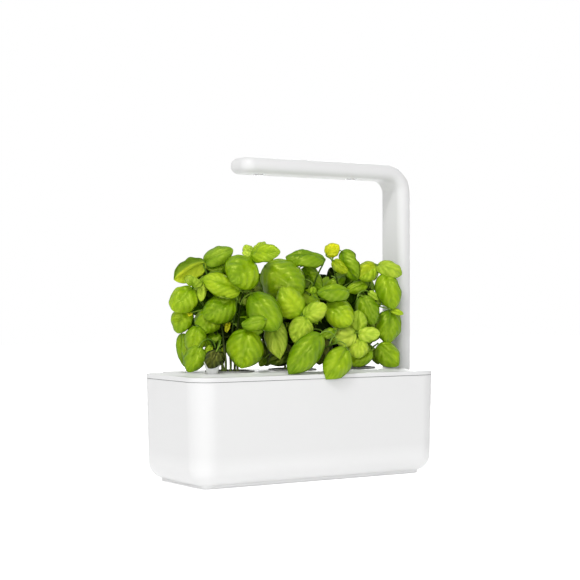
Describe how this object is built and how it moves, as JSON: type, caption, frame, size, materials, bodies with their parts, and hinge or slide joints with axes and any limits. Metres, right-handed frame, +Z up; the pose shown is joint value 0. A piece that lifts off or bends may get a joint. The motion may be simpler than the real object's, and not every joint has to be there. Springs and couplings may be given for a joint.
{
  "type": "countertop hydroponic garden",
  "caption": "White countertop planter: a water tank with a lift-off lid, growing cups with basil pods, a float gauge, and an L-shaped lamp arm on a plug-in extension tube.",
  "frame": {"origin": "middle of the foot ring, on the surface the garden stands on", "axes": "+X along the tank towards the lamp post, +Y towards the back with the power inlet, +Z up"},
  "size_m": [0.304, 0.1348, 0.338],
  "materials": {
    "body_white": "glossy injection-moulded white",
    "inner_white": "satin moulded off-white",
    "foot_rubber": "soft matt grey",
    "wick_felt": "white felt",
    "pod_grey": "matt grey moulded plastic",
    "soil": "rough dark growing sponge",
    "leaf": "living basil leaves and stems",
    "dark_plastic": "matt dark plastic",
    "screw_steel": "plated steel",
    "board_green": "circuit board laminate",
    "contact_brass": "plated contact pins",
    "wire_red": "insulated wire",
    "spreader": "plain aluminium",
    "led_board_white": "white circuit board",
    "led_phosphor": "yellow phosphor",
    "lens_clear": "clear moulded lens"
  },
  "bodies": {
    "base": {"tank": "body_white", "foot_ring": "foot_rubber"},
    "lid": {"lid": "body_white", "float_guide": "inner_white", "base_socket": "dark_plastic", "base_contacts": "dark_plastic", "socket_screws": "screw_steel", "control_board": "board_green", "board_parts": "dark_plastic", "board_screws": "screw_steel", "dc_jack": "dark_plastic", "inlet_bezel": "body_white"},
    "float": {"float_cup": "body_white"},
    "cup_left": {"cup_left": "inner_white", "wick_left": "wick_felt"},
    "pod_left": {"pod_left": "pod_grey", "soil_left": "soil", "plant_left": "leaf"},
    "cup_mid": {"cup_mid": "inner_white", "wick_mid": "wick_felt"},
    "pod_mid": {"pod_mid": "pod_grey", "soil_mid": "soil", "plant_mid": "leaf"},
    "cup_right": {"cup_right": "inner_white", "wick_right": "wick_felt"},
    "pod_right": {"pod_right": "pod_grey", "soil_right": "soil", "plant_right": "leaf"},
    "extension": {"extension_tube": "body_white", "extension_plug": "inner_white", "extension_pins": "contact_brass", "extension_socket": "dark_plastic", "extension_wires": "wire_red"},
    "lamp": {"lamp_shell": "body_white", "lamp_cover": "body_white", "cover_screws": "screw_steel", "heat_spreader": "spreader", "led_board": "led_board_white", "led_chips": "led_phosphor", "led_lenses": "lens_clear", "lamp_plug": "inner_white", "lamp_pins": "contact_brass", "lamp_wires": "wire_red"}
  },
  "joints": [
    {"name": "lid_lift", "type": "slide", "parent": "base", "child": "lid", "axis": [0, 0, 1], "range_m": [0, 0.1]},
    {"name": "float_level", "type": "slide", "parent": "lid", "child": "float", "axis": [0, 0, 1], "range_m": [-0.012, 0]},
    {"name": "cup_left_lift", "type": "slide", "parent": "lid", "child": "cup_left", "axis": [0, 0, 1], "range_m": [0, 0.025]},
    {"name": "pod_left_lift", "type": "slide", "parent": "cup_left", "child": "pod_left", "axis": [0, 0, 1], "range_m": [0, 0.04]},
    {"name": "cup_mid_lift", "type": "slide", "parent": "lid", "child": "cup_mid", "axis": [0, 0, 1], "range_m": [0, 0.025]},
    {"name": "pod_mid_lift", "type": "slide", "parent": "cup_mid", "child": "pod_mid", "axis": [0, 0, 1], "range_m": [0, 0.04]},
    {"name": "cup_right_lift", "type": "slide", "parent": "lid", "child": "cup_right", "axis": [0, 0, 1], "range_m": [0, 0.025]},
    {"name": "pod_right_lift", "type": "slide", "parent": "cup_right", "child": "pod_right", "axis": [0, 0, 1], "range_m": [0, 0.04]},
    {"name": "extension_lift", "type": "slide", "parent": "lid", "child": "extension", "axis": [0, 0, 1], "range_m": [0, 0.022]},
    {"name": "lamp_lift", "type": "slide", "parent": "extension", "child": "lamp", "axis": [0, 0, 1], "range_m": [0, 0.022]}
  ]
}
